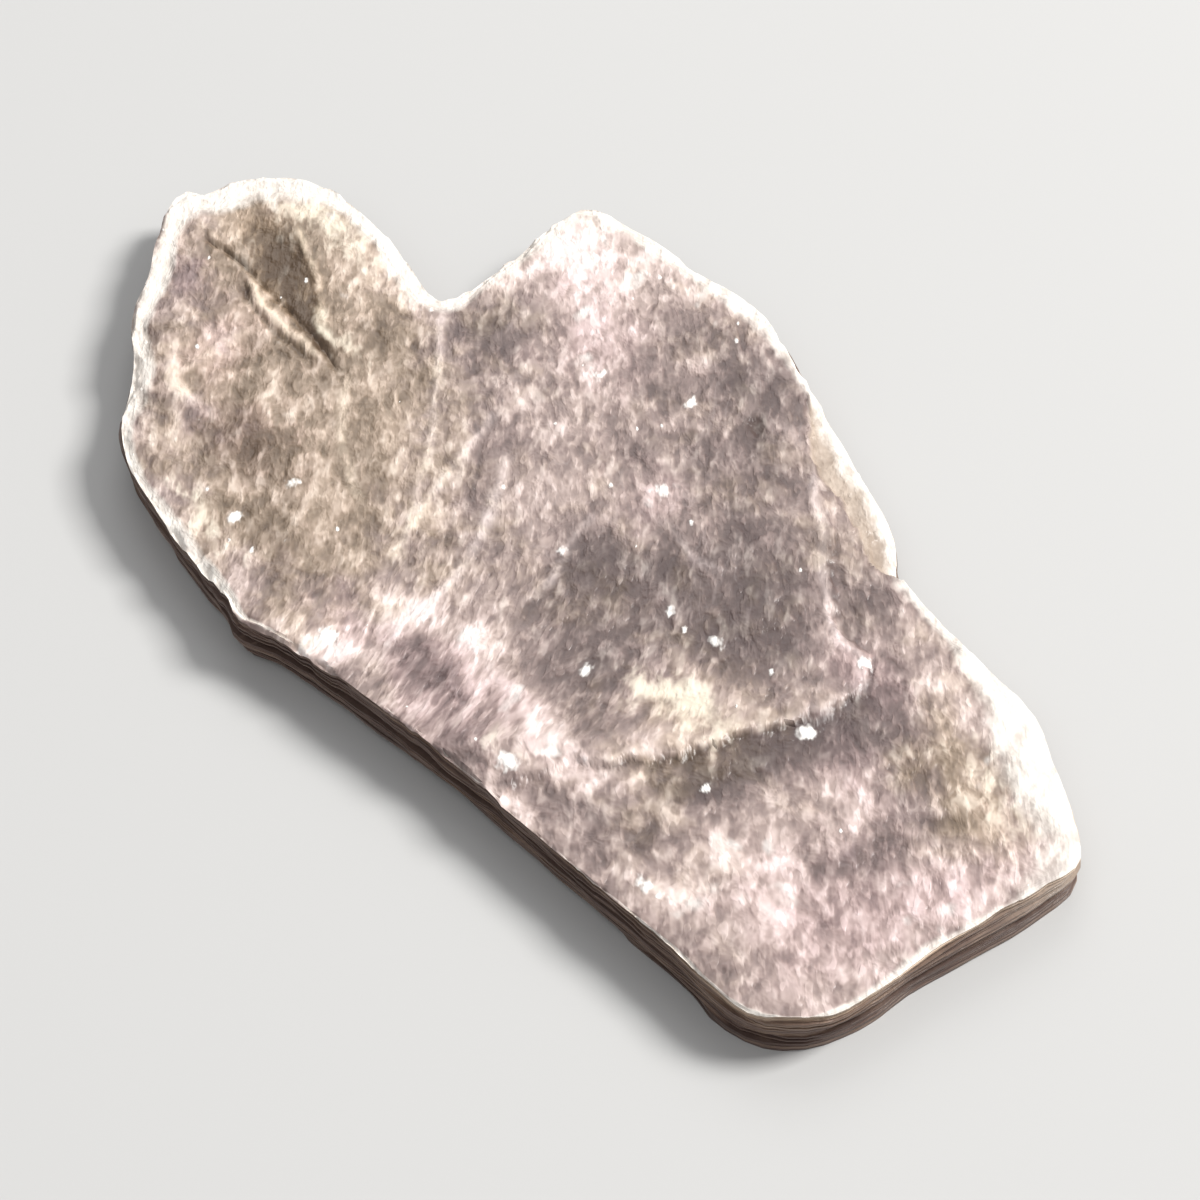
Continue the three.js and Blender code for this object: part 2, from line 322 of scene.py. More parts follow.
# Shortest distance from each point to any of the straight pieces.
def distanceTo(points, pieces):
    shortest = np.full(len(points), 1e9)
    for block in np.array_split(np.arange(len(points)), max(1, len(points) // 4000)):
        start = pieces[None, :, 0]
        run = pieces[None, :, 1] - start
        gap = points[block][:, None] - start
        share = (gap * run).sum(-1) / np.maximum((run * run).sum(-1), 1e-12)
        off = gap - run * np.clip(share, 0, 1)[..., None]
        shortest[block] = np.sqrt((off * off).sum(-1).min(axis=1))
    return shortest


# Whether each point is inside the closed outline: it is if a level ray crosses it an odd number
# of times.
def insideOf(points, pieces):
    inside = np.zeros(len(points), bool)
    for block in np.array_split(np.arange(len(points)), max(1, len(points) // 4000)):
        x, y = points[block, 0][:, None], points[block, 1][:, None]
        ax, ay, bx, by = pieces[:, 0, 0], pieces[:, 0, 1], pieces[:, 1, 0], pieces[:, 1, 1]
        spans = (ay > y) != (by > y)
        meets = ax + (y - ay) / np.where(spans, by - ay, 1.0) * (bx - ax) > x
        inside[block] = (spans & meets).sum(axis=1) % 2 == 1
    return inside


# Distance in from the outline, with a minus sign outside it.
def depthIn(points, pieces):
    return distanceTo(points, pieces) * np.where(insideOf(points, pieces), 1, -1)


# Straight pieces of a smooth curve through the points: each stretch is a cubic blend.
def chainOf(points):
    corners = np.array(points, float)
    padded = np.vstack([2 * corners[0] - corners[1], corners, 2 * corners[-1] - corners[-2]])
    share = np.linspace(0, 1, 12, endpoint=False)[:, None, None]
    a, b, c, d = (padded[i:len(padded) - 3 + i][None] for i in range(4))
    curve = 0.5 * (2 * b + (c - a) * share + (2 * a - 5 * b + 4 * c - d) * share ** 2
                   + (3 * b - a - 3 * c + d) * share ** 3)
    curve = np.vstack([curve.transpose(1, 0, 2).reshape(-1, 2), corners[-1:]])
    return np.stack([curve[:-1], curve[1:]], axis=1)


# 0 below low, 1 above high, and an S-shaped rise between.
def smooth(value, low, high):
    share = np.clip((value - low) / (high - low), 0, 1)
    return share * share * (3 - 2 * share)


# Smooth noise: random corner values of a unit grid, blended by S-curves between corners.
def lattice(x, y, seed):
    column, row = np.floor(x).astype(np.int64), np.floor(y).astype(np.int64)
    u, v = x - column, y - row
    u, v = u * u * (3 - 2 * u), v * v * (3 - 2 * v)

    def corner(i, j):
        mixed = (i * 374761393 + j * 668265263 + seed * 974634777) & 0xFFFFFFFF
        mixed = ((mixed ^ (mixed >> 13)) * 1274126177) & 0xFFFFFFFF
        return ((mixed ^ (mixed >> 16)) & 0xFFFF) / 65535.0

    near = corner(column, row) * (1 - u) + corner(column + 1, row) * u
    far = corner(column, row + 1) * (1 - u) + corner(column + 1, row + 1) * u
    return near * (1 - v) + far * v


# Noise of several sizes added up, each half as wide and half as strong as the last.
def layered(x, y, seed, octaves=4):
    total = sum(lattice(x * 2 ** n, y * 2 ** n, seed + 17 * n) * 0.5 ** n for n in range(octaves))
    return total / sum(0.5 ** n for n in range(octaves))


# Distance across and along the grain: x and y turned by the grain's direction, then bent by the
# square of the distance towards the front.
def grainFrame(x, y):
    angle = math.radians(145.0)
    along = x * math.cos(angle) + y * math.sin(angle)
    across = x * math.sin(angle) - y * math.cos(angle)
    bend = np.clip(-along, 0, 22)
    return across + 0.012 * bend * bend * (1 - smooth(across, -12, 25)), along


# 1 at the middle of an oval, falling off as a bell in each direction.
def oval(x, y, middleX, middleY, long, wide, turn):
    c, s = math.cos(math.radians(turn)), math.sin(math.radians(turn))
    dx, dy = x - middleX, y - middleY
    return np.exp(-((dx * c + dy * s) / long) ** 2 - ((dy * c - dx * s) / wide) ** 2)


# Each oval times its strength, added up.
def ovalSum(x, y, ovals):
    return sum(strength * oval(x, y, *where) for *where, strength in ovals)


# How much each point belongs to the bevel or the ledge, from 0 to 1.
def wornAt(side, x, y):
    return np.clip(ovalSum(x, y, wornSides[side]), 0, 1)


# a sheet's level is one that very many corners of the CAD solid share
plateTriangles = cadTriangles("mica_crystal")
levels = np.unique(np.round(plateTriangles[..., 2], 3))
sheetLevels = [z for z in levels if (np.abs(plateTriangles[..., 2] - z) < 1e-3).sum() > 300]
print("sheet levels", np.round(sheetLevels, 2))
lineChains = {name: chainOf(line[0]) for name, line in faceLines.items()}


# The plate's outline at that height, without the walls of the open split.
def outlineOf(height):
    pieces = sliceAt(plateTriangles, height)
    return pieces[distanceTo(pieces.mean(axis=1), lineChains["split"]) > 2]


outlines = [outlineOf((low + high) / 2) for low, high in zip(sheetLevels[:-1], sheetLevels[1:])]
filmOutline = outlines.pop()
faceLevel = sheetLevels[-2]
filmThickness = sheetLevels[-1] - faceLevel
soundSheet = len(outlines) - 3     # the highest sheet that is whole all the way round


# Rays from the middle line out to an ellipse: each turn angle gives a start and a heading.
def rayFan(turns):
    c, s = np.cos(turns), np.sin(turns)
    origins = np.stack([crystal["spineHalf"] * c, np.full_like(c, crystal["spineY"])], axis=1)
    acrossX, acrossY = crystal["rayAcross"]
    headings = np.stack([(acrossX - crystal["spineHalf"]) * c, acrossY * s], axis=1)
    return origins, headings / np.linalg.norm(headings, axis=1)[:, None]


# Turn angles whose rays meet the outline at even steps, half of them on each long side.
def evenTurns(pieces, count):
    turns = np.linspace(0, 2 * math.pi, 4001)
    origins, headings = rayFan(turns)
    edge = origins + headings * reachAlong(pieces, origins, headings)[:, None]
    walked = np.concatenate([[0], np.cumsum(np.linalg.norm(np.diff(edge, axis=0), axis=1))])
    half = walked[len(walked) // 2]
    back = np.linspace(0, half, count // 2, endpoint=False)
    front = np.linspace(half, walked[-1], count // 2, endpoint=False)
    return np.interp(np.concatenate([back, front]), walked, turns), walked[-1]


turns, girth = evenTurns(outlines[soundSheet], crystal["borderPoints"])
mirrored = 2 * math.pi - np.concatenate([[2 * math.pi], turns[:0:-1]])
pairedTurns = (turns + mirrored) / 2   # each point of the back straight across from one in front
rayStart, rayHeading = rayFan(turns)
sheetReach = [reachAlong(pieces, rayStart, rayHeading) for pieces in outlines]
roundAngle = np.arange(crystal["borderPoints"]) / crystal["borderPoints"] * 2 * math.pi
roundRadius = girth / (2 * math.pi)


# How far a sheet goes along each ray once its snapped or worn stretches reach out to the whole
# sheet below: where the gap is wide, that sheet's reach takes over.
def fullReach(sheet):
    whole = sheetReach[soundSheet]
    missing = smooth(whole - sheetReach[sheet], 0.35, 0.9)
    return sheetReach[sheet] * (1 - missing) + (whole - 0.08) * missing


# Noise that runs round the edge and meets itself, as noise on a circle.
def edgeNoise(stretch, seed, octaves=4):
    radius = roundRadius / stretch
    return layered(100 + radius * np.cos(roundAngle), 100 + radius * np.sin(roundAngle), seed, octaves)


# Moves points about by noise of many sizes, so that an oval drawn there gets a ragged outline.
def wander(x, y, far):
    across, along = grainFrame(x, y)
    sideways = layered(across * 0.34, along * 0.2, 61, 5) - 0.5
    lengthways = layered(across * 0.34 + 50, along * 0.2, 67, 5) - 0.5
    return x + far * sideways, y + far * lengthways


# Fades a line's mark out over its last few millimetres.
def endFade(points, linePoints):
    first, last = np.array(linePoints[0]), np.array(linePoints[-1])
    nearEnd = np.minimum(np.linalg.norm(points - first, axis=1), np.linalg.norm(points - last, axis=1))
    return smooth(nearEnd, 0.0, 1.5)


# Stairs from 0 to 1 in that many steps, each with an S-shaped riser.
def stairs(value, steps):
    scaled = np.clip(value, 0, 1) * steps
    return np.minimum((np.floor(scaled) + smooth(scaled % 1, 0.0, 0.3)) / steps, 1)


# How far in the rim each point is, from 0 at the edge to 1 where the rim ends: the distance in,
# off, as a share of the rim's width there, which noise makes uneven.
def rimRun(x, y, off):
    width = rim["width"] + ovalSum(x, y, rim["wider"])
    return off / (width * (0.55 + 0.9 * layered(x * 0.5, y * 0.5, 31, 4)))


# Slow waves of the whole face: noise about 15 mm wide.
def slowWave(x, y):
    return crystal["warp"] * 2 * (layered(x / 17 + 9, y / 13 + 4, 3, 2) - 0.5)


# Height of the top face and what its finish needs. The height is that of the sheets and the film
# that reach there, each with a sloping edge, less the rim's steps, plus slow waves, ripples, bumps
# and scaly steps, a bell-shaped ridge or groove for each line, the dents and the specks.
def topFace(x, y):
    points = np.stack([x, y], axis=1)
    finer = crystal["tornFiner"]
    strayed = np.stack(wander(x * finer, y * finer, crystal["tornFar"]), axis=1) / finer
    bevel, ledge = wornAt("bevel", x, y), wornAt("ledge", x, y)
    spare = wornSides["spare"] * (1 - np.clip(bevel + ledge, 0, 1))
    margin = spare - ovalSum(x, y, wornSides["ledgeMore"])
    height = np.full(len(x), sheetLevels[soundSheet + 1])
    covers = []
    for number, slope in enumerate(wornSides["bevelSlopes"]):
        sheet = soundSheet + 1 + number
        halfSlope = crystal["ledgeSlope"] + slope * bevel
        covers.append(smooth(depthIn(strayed, outlines[sheet]) + margin, -halfSlope, halfSlope))
        height = height + (sheetLevels[sheet + 1] - sheetLevels[sheet]) * covers[-1]
    pushed = np.stack([ovalSum(x, y, film["pushed"]), np.zeros(len(x))], axis=1)
    filmIn = depthIn(strayed - pushed, filmOutline)
    height = height + filmThickness * smooth(filmIn, -film["slope"], film["slope"])
    off = distanceTo(points, outlines[soundSheet])
    rimShare = rimRun(x, y, off)
    height = height - rim["drop"] * (1 - stairs(rimShare, rim["steps"]))
    across, along = grainFrame(x, y)
    height = height + slowWave(x, y)
    height = height + crystal["ripple"] * (layered(across * 0.5, along * 0.2, 5, 3) - 0.5)
    height = height + crystal["pebble"] * (layered(across * 1.1, along * 0.55, 11, 2) - 0.5)
    flake = layered(across * 0.15 + 40, along * 0.08, 21, 5) * crystal["flakeSteps"]
    terraces = smooth(flake % 1, 0.0, 0.16) + np.floor(flake) - crystal["flakeSteps"] / 2
    height = height + crystal["flakeStep"] * terraces

    # lines are drawn a little less straight than they are listed
    nearby = points + 0.4 * (strayed - points)
    # lineTone: the lines' paleness, with painted shade in the crack and under the split's lip
    lineTone = np.zeros(len(x))
    for name, (linePoints, width, lift, pale) in faceLines.items():
        mark = np.exp(-(distanceTo(nearby, lineChains[name]) / width) ** 2) * endFade(points, linePoints)
        height = height + lift * mark
        lineTone = lineTone + pale * mark
    bell = {}
    for name, (where, deep, low, high) in dents.items():
        bell[name] = oval(*strayed.T, *where)
        height = height - deep * smooth(bell[name], low, high)
    height = height + crystal["speckHeight"] * np.clip(ovalSum(x, y, facePatches["glint"]), 0, 1)

    # the film's free edge, with painted shade at its foot and past it, and the dark riser of the ledge
    (fromX, toX), (fromY, toY), (endY, goneY) = film["crossing"]
    crossing = smooth(x, fromX, toX) * smooth(y, fromY, toY) * (1 - smooth(y, endY, goneY))
    for middle, halfWidth, pale in (film["lip"], film["footShade"]):
        lineTone = lineTone + pale * crossing * np.exp(-((filmIn - middle) / halfWidth) ** 2)
    # painted shade past the film's step, fading away from it
    beyond = crossing * smooth(-filmIn, -0.2, 0.4) * np.exp(-(filmIn / film["shadeFar"]) ** 2)
    upper = covers[-1]
    lineTone = lineTone - 1.6 * ledge * upper * (1 - upper)
    frostWidth = wornSides["frostWidth"] + ovalSum(x, y, wornSides["frostWider"])
    frosted = bevel * (1 - smooth(off / frostWidth, 0.3, 1.65))
    terrace = np.clip(2 * ledge, 0, 1) * (1 - upper)
    # dark is painted shade past the film's step and painted shadow in the nick; the brown mark is the
    # hollow's own brown and, at the nick, painted shadow
    return height, {"rim": rimShare, "line": lineTone, "bevel": frosted, "terrace": terrace,
                    "umberAndNickShade": bell["hollow"] + 0.8 * bell["nick"], "dark": 0.7 * beyond + 1.5 * bell["nick"]}


# Faces between two rings: even rings join by squares, and where one has half the points of the
# other, by three triangles to each wide step.
def joinRings(first, firstCount, second, secondCount):
    if firstCount == secondCount:
        i = np.arange(firstCount)
        j = (i + 1) % firstCount
        return np.stack([first + i, second + i, second + j, first + j], axis=1), None
    few = min(firstCount, secondCount)
    i = np.arange(few)
    j = (i + 1) % few
    left, middle, right = 2 * i, 2 * i + 1, (2 * i + 2) % (2 * few)
    if firstCount < secondCount:
        parts = [(first + i, second + left, second + middle), (first + i, second + middle, first + j),
                 (first + j, second + middle, second + right)]
    else:
        parts = [(first + left, second + i, first + middle), (first + middle, second + i, second + j),
                 (first + middle, second + j, first + right)]
    return None, np.concatenate([np.stack(part, axis=1) for part in parts])


# Fills a slim ring by rungs from its back side to its front side, each with new points on it,
# numbered after the ring's own; gives those points, and faces that look up.
def ladder(ring, rows):
    half, start = len(ring) // 2, len(ring)
    back, front = ring[1:half], ring[:half:-1]
    share = np.arange(1, rows + 1) / (rows + 1)
    points = back[:, None] + (front - back)[:, None] * share[None, :, None]
    rungs = np.empty((half - 1, rows + 2), dtype=np.int64)
    rungs[:, 0] = np.arange(1, half)
    rungs[:, -1] = np.arange(2 * half - 1, half, -1)
    rungs[:, 1:-1] = start + np.arange((half - 1) * rows).reshape(half - 1, rows)
    squares = np.stack([rungs[:-1, :-1], rungs[1:, :-1], rungs[1:, 1:], rungs[:-1, 1:]], axis=-1)
    rightFan = np.stack([np.zeros(rows + 1, int), rungs[0, :-1], rungs[0, 1:]], axis=1)
    leftFan = np.stack([np.full(rows + 1, half), rungs[-1, 1:], rungs[-1, :-1]], axis=1)
    return points.reshape(-1, 2), squares.reshape(-1, 4), np.concatenate([rightFan, leftFan])


# A ring that share of the way out; its points slide round, from even steps at the edge to pairs
# straight across from each other at the middle line.
def ringAt(reach, share):
    slid = turns * share + pairedTurns * (1 - share)
    origins, headings = rayFan(slid)
    return origins + headings * (np.interp(slid, turns, reach, period=2 * math.pi) * share)[:, None]


# Rows down the side: each fine layer has an upper and a lower row at its own nibbled edge. The
# rows share out the height of the face's border, so that they crowd together under the bevel. The
# tone is how pale a layer is, paler towards the back right for the top one and the upper sheets.
def layerRows(borderReach, borderHeight):
    dice = np.random.default_rng(7)
    edgeX, edgeY = (rayStart + rayHeading * borderReach[:, None]).T
    rows = []
    for sheet in range(len(outlines) - 1, -1, -1):
        count = crystal["sheetLaminae"][sheet]
        cuts = np.linspace(sheetLevels[sheet + 1], sheetLevels[sheet], count + 1) / faceLevel
        shaken = dice.uniform(-crystal["uneven"], crystal["uneven"], count - 1)
        cuts[1:-1] += shaken * (cuts[0] - cuts[-1]) / count
        sheetEdge = fullReach(sheet)
        for layer in range(count):
            isTop = not rows
            nibble = crystal["raggedness"] * (0.15 + 1.1 * edgeNoise(5.0, sheet * 7 + layer, 5) ** 1.5)
            parting = crystal["parting"] * smooth(edgeNoise(14.0, 60 + sheet * 5 + layer, 2), 0.62, 0.75)
            reach = borderReach if isTop else sheetEdge - nibble - parting * (layer > 0)
            tone = 0.25 + 0.5 * dice.random() + 0.7 * (edgeNoise(9.0, 90 + sheet * 5 + layer, 3) - 0.5)
            paler = 0.9 * isTop + 0.3 * max(0, sheet - soundSheet)
            tone = tone + paler * smooth(edgeX + edgeY, 14, 30)
            for share, tuck in ((cuts[layer], 0.0), (cuts[layer + 1], crystal["tuck"])):
                height = borderHeight * share + tuck / 2
                rows.append({"reach": reach - tuck, "height": height, "tone": tone})
    return rows[1:]


# The underside is flat where it lies and stepped up a little where films have come off, more and
# more as the distance inward grows.
def underHeight(x, y, inward):
    flake = layered(x * 0.05 + 3, y * 0.07 + 8, 41, 5)
    steps = sum(thickness * smooth(flake, low, high) for low, high, thickness in crystal["underFilms"])
    low, high = crystal["underFilms"][0][:2]
    ripple = crystal["underRipple"] * layered(x * 0.5, y * 0.5, 43, 3) * smooth(flake, low, high)
    return (steps + ripple) * smooth(inward, 0.0, 2.5)


# The top face, from the middle line out to the edge, and what its finish needs.
def faceSurface(borderReach):
    offsets = crystal["rimOffsets"]
    inner = borderReach - offsets[-1]
    wideShares = np.linspace(1, crystal["halvingAt"], crystal["outerRings"] + 1)
    slimShares = np.linspace(crystal["halvingAt"], crystal["closeAt"], crystal["innerRings"] + 1)
    rings = [ringAt(inner, share)[::2] for share in slimShares[:0:-1]]
    rings += [ringAt(inner, share) for share in wideShares[:0:-1]]
    rings += [rayStart + rayHeading * (borderReach - offset)[:, None] for offset in offsets[::-1]]
    rungs, squares, fans = ladder(rings[0], crystal["ladderRows"])
    flat = np.concatenate(rings + [rungs])
    z, marks = topFace(*flat.T)
    return {"rings": rings, "squares": squares, "fans": fans, "flat": flat, "z": z,
            "ringTotal": len(flat) - len(rungs)}, marks


# The underside, from the edge in to the middle line.
def underSurface(lastReach):
    outermost, nextIn = crystal["underInsets"]
    rings = [(rayStart + rayHeading * (lastReach - outermost)[:, None])[::2]]
    shares = np.linspace(1, crystal["closeAt"], crystal["underRings"] + 1)
    rings += [ringAt(lastReach - nextIn, share)[::2] for share in shares]
    rungs, squares, fans = ladder(rings[-1], crystal["underLadderRows"])
    flat = np.concatenate(rings + [rungs])
    z = underHeight(*flat.T, distanceTo(flat, outlines[0]) - crystal["underMargin"])
    return {"rings": rings, "squares": squares, "fans": fans, "flat": flat, "z": z,
            "ringTotal": len(flat) - len(rungs)}


# Faces of the whole plate: each ring joins the next, and the two ladders close the middle. A
# face's kind is 1 down the side and 0 elsewhere.
def joinPlate(face, rowTotal, under):
    ringSizes = [len(ring) for ring in face["rings"]] + [crystal["borderPoints"]] * rowTotal
    ringSizes += [len(ring) for ring in under["rings"]]
    ringStart = np.concatenate([[0], np.cumsum(ringSizes)])
    squares, triangles, squareKind, triangleKind = [], [], [], []
    for ring in range(len(ringSizes) - 1):
        onSide = 0 <= ring - len(face["rings"]) + 1 < rowTotal
        four, three = joinRings(ringStart[ring], ringSizes[ring], ringStart[ring + 1], ringSizes[ring + 1])
        if four is not None:
            squares.append(four)
            squareKind.append(np.full(len(four), int(onSide)))
        else:
            triangles.append(three)
            triangleKind.append(np.full(len(three), int(onSide)))

    # a ladder's points: those of the ring that it fills, then its own, which follow all the rings
    faceOwn = len(face["flat"]) - face["ringTotal"]
    underOwn = len(under["flat"]) - under["ringTotal"]
    faceMap = np.concatenate([np.arange(ringSizes[0]), ringStart[-1] + np.arange(faceOwn)])
    underMap = np.concatenate([ringStart[-2] + np.arange(ringSizes[-1]),
                               ringStart[-1] + faceOwn + np.arange(underOwn)])
    squares += [faceMap[face["squares"]], underMap[under["squares"]][:, ::-1]]
    triangles += [faceMap[face["fans"]], underMap[under["fans"]][:, ::-1]]
    squareKind += [np.zeros(len(face["squares"]) + len(under["squares"]))]
    triangleKind += [np.zeros(len(face["fans"]) + len(under["fans"]))]
    kinds = np.concatenate(squareKind + triangleKind).astype(np.int32)
    return np.concatenate(squares), np.concatenate(triangles), kinds


# The whole plate as one closed mesh: rings out over the face, down the side and in underneath.
def buildCrystal():
    nibble = crystal["raggedness"] * (0.1 + 0.9 * edgeNoise(4.0, 3, 5))
    borderReach = fullReach(len(outlines) - 1) - nibble
    face, marks = faceSurface(borderReach)
    faceTotal = face["ringTotal"]
    rows = layerRows(borderReach, face["z"][faceTotal - crystal["borderPoints"]:faceTotal])
    under = underSurface(rows[-1]["reach"])
    underTotal = under["ringTotal"]
    squares, triangles, kinds = joinPlate(face, len(rows), under)

    # every point's values, in the order of the rings and then of the ladders
    def inOrder(faceValues, sideValues, underValues):
        return np.concatenate([faceValues[:faceTotal], sideValues, underValues[:underTotal],
                               faceValues[faceTotal:], underValues[underTotal:]])

    sideFlat = np.concatenate([rayStart + rayHeading * row["reach"][:, None] for row in rows])
    flat = inOrder(face["flat"], sideFlat, under["flat"])
    z = inOrder(face["z"], np.concatenate([row["height"] for row in rows]), under["z"])
    mesh = bpy.data.meshes.new("mica_plate")
    mesh.from_pydata((np.column_stack([flat, z]) * mm).tolist(), [], squares.tolist() + triangles.tolist())
    mesh.polygons.foreach_set("material_index", kinds)
    mesh.shade_smooth()
    mesh.set_sharp_from_angle(angle=math.radians(crystal["sharpAngle"]))

    # what the materials read at each point, mostly one plain value where it isn't face
    faceCount, underCount = len(face["flat"]), len(under["flat"])

    def onFace(values, elsewhere=0.0):
        return inOrder(values, np.full(len(sideFlat), elsewhere), np.full(underCount, elsewhere))

    strayed = wander(*face["flat"].T, crystal["patchFar"])
    patch = {kind: ovalSum(*strayed, ovals) for kind, ovals in facePatches.items()}
    glint = ovalSum(*face["flat"].T, facePatches["glint"])
    around = inOrder(np.zeros(faceCount), np.tile(roundAngle, len(rows)), np.zeros(underCount))
    tone = inOrder(np.full(faceCount, 0.8), np.concatenate([row["tone"] for row in rows]),
                   np.full(underCount, 0.4))
    # the patches' paleness, less the darker patches and the painted shade past the film's step and in the
    # nick
    light = patch["light"] - patch["dusk"] - marks["dark"]
    vectors = {
        "grain": (*grainFrame(*flat.T), z),
        "edgeRun": (roundRadius * np.cos(around), roundRadius * np.sin(around), z),
        "edging": (onFace(marks["rim"], 9.0), wornAt("bevel", *flat.T) * smooth(z, 1.2, 2.6), tone),
        "patches": (onFace(light), onFace(patch["cream"]), onFace(patch["rose"])),
        "casts": (onFace(patch["khaki"]), onFace(marks["bevel"]), onFace(marks["terrace"])),
        "marks": (onFace(marks["line"]), onFace(glint), onFace(marks["umberAndNickShade"])),
    }
    for name, parts in vectors.items():
        layer = mesh.attributes.new(name, "FLOAT_VECTOR", "POINT")
        layer.data.foreach_set("vector", np.column_stack(parts).astype(np.float32).ravel())
    piece = bpy.data.objects.new("mica_plate", mesh)
    bpy.context.collection.objects.link(piece)
    print("plate mesh", len(z), "points", 2 * len(squares) + len(triangles), "triangles")
    return piece


# A colour given as 0 to 255 on a screen, as the light values that shaders use.
def paint(red, green, blue):
    screen = np.array([red, green, blue]) / 255
    light = np.where(screen <= 0.04045, screen / 12.92, ((screen + 0.055) / 1.055) ** 2.4)
    return (*light.tolist(), 1.0)


# A colour whose light values are given as they are, for a tint that multiplies.
def tint(red, green, blue):
    return (red, green, blue, 1.0)


# Links a socket to an input, or sets the input to a plain value.
def feed(tree, socket, value):
    if isinstance(value, bpy.types.NodeSocket):
        tree.links.new(value, socket)
    else:
        socket.default_value = value


# Adds a node; inputs are values or sockets, named as the node names them.
def addNode(tree, kind, settings=None, **inputs):
    node = tree.nodes.new(kind)
    for key, value in (settings or {}).items():
        setattr(node, key, value)
    for name, value in inputs.items():
        feed(tree, node.inputs[name.replace("_", " ")], value)
    return node


# One step of arithmetic.
def calculate(tree, operation, first, second=0.0, third=None):
    node = tree.nodes.new("ShaderNodeMath")
    node.operation = operation
    feed(tree, node.inputs[0], first)
    feed(tree, node.inputs[1], second)
    if third is not None:
        feed(tree, node.inputs[2], third)
    return node.outputs[0]


# An S-shaped rise from start to end as the value goes from low to high.
def rise(tree, value, low, high, start=0.0, end=1.0):
    node = tree.nodes.new("ShaderNodeMapRange")
    node.interpolation_type = "SMOOTHSTEP"
    for name, what in (("Value", value), ("From Min", low), ("From Max", high), ("To Min", start),
                       ("To Max", end)):
        feed(tree, node.inputs[name], what)
    return node.outputs["Result"]


# Goes from the first colour to the second, or to their product, as the factor goes from 0 to 1.
def blendColour(tree, factor, first, second, mode="MIX"):
    node = tree.nodes.new("ShaderNodeMix")
    node.data_type = "RGBA"
    node.blend_type = mode
    feed(tree, node.inputs[0], factor)
    feed(tree, node.inputs[6], first)
    feed(tree, node.inputs[7], second)
    return node.outputs[2]


# Cloudy noise, mostly between 0.3 and 0.7.
def noise(tree, vector, scale, detail=2.0, roughness=0.5, distortion=0.0):
    node = addNode(tree, "ShaderNodeTexNoise", Vector=vector, Scale=scale, Detail=detail,
                   Roughness=roughness, Distortion=distortion)
    return node.outputs["Fac"]


# The colour at that place between the stops, each a position and a colour.
def ramp(tree, factor, stops):
    node = tree.nodes.new("ShaderNodeValToRGB")
    feed(tree, node.inputs[0], factor)
    bands = node.color_ramp.elements
    for number, (position, colour) in enumerate(stops):
        band = bands[number] if number < 2 else bands.new(position)
        band.position = position
        band.color = colour
    return node.outputs["Color"]


# start plus each mask times its weight.
def addAll(tree, start, terms):
    total = start
    for mask, weight in terms:
        total = calculate(tree, "MULTIPLY_ADD", mask, weight, total)
    return total


# What the mesh stores under that name.
def attributeOf(tree, name):
    return addNode(tree, "ShaderNodeAttribute", {"attribute_name": name}).outputs["Vector"]


# The three numbers of a vector, or of what the mesh stores under that name.
def partsOf(tree, vector):
    if isinstance(vector, str):
        vector = attributeOf(tree, vector)
    return addNode(tree, "ShaderNodeSeparateXYZ", Vector=vector).outputs


# The point in the plate's own millimetres.
def bodyPlace(tree):
    node = addNode(tree, "ShaderNodeVectorMath", {"operation": "SCALE"}, Scale=1000.0)
    tree.links.new(addNode(tree, "ShaderNodeTexCoord").outputs["Object"], node.inputs[0])
    return node.outputs[0]


# Squeezes a vector's first two parts by two sizes and puts a seed in the third.
def squeezed(tree, vector, across, along, seed):
    parts = partsOf(tree, vector)
    return addNode(tree, "ShaderNodeCombineXYZ", X=calculate(tree, "DIVIDE", parts[0], across),
                   Y=calculate(tree, "DIVIDE", parts[1], along),
                   Z=calculate(tree, "MULTIPLY_ADD", parts[2], 0.35, seed)).outputs[0]


# A node group of masks and values; each input has a name and a value, or None for a vector.
def newGroup(name, inputs, outputs):
    tree = bpy.data.node_groups.new(name, "ShaderNodeTree")
    for socketName, value in inputs.items():
        kind = "NodeSocketVector" if value is None else "NodeSocketFloat"
        socket = tree.interface.new_socket(socketName, in_out="INPUT", socket_type=kind)
        if value is not None:
            socket.default_value = value
    for socketName in outputs:
        tree.interface.new_socket(socketName, in_out="OUTPUT", socket_type="NodeSocketFloat")
    return tree, tree.nodes.new("NodeGroupInput").outputs, tree.nodes.new("NodeGroupOutput").inputs


# Puts a node group to use and gives its outputs.
def useGroup(tree, group, **inputs):
    node = tree.nodes.new("ShaderNodeGroup")
    node.node_tree = group
    for name, value in inputs.items():
        feed(tree, node.inputs[name], value)
    return node.outputs


# Flecks drawn out along the grain: noise stretched by two sizes, kept where it passes a level.
def makeFleckGroup():
    tree, given, result = newGroup(
        "fleckMask", {"Place": None, "Across": 0.3, "Along": 1.5, "Level": 0.6, "Softness": 0.06,
                      "Seed": 0.0}, ["Mask", "Raw"])
    vector = squeezed(tree, given["Place"], given["Across"], given["Along"], given["Seed"])
    raw = noise(tree, vector, 1.0, 1.0, 0.5, 0.0)
    high = calculate(tree, "ADD", given["Level"], given["Softness"])
    tree.links.new(rise(tree, raw, given["Level"], high), result["Mask"])
    tree.links.new(raw, result["Raw"])
    return tree


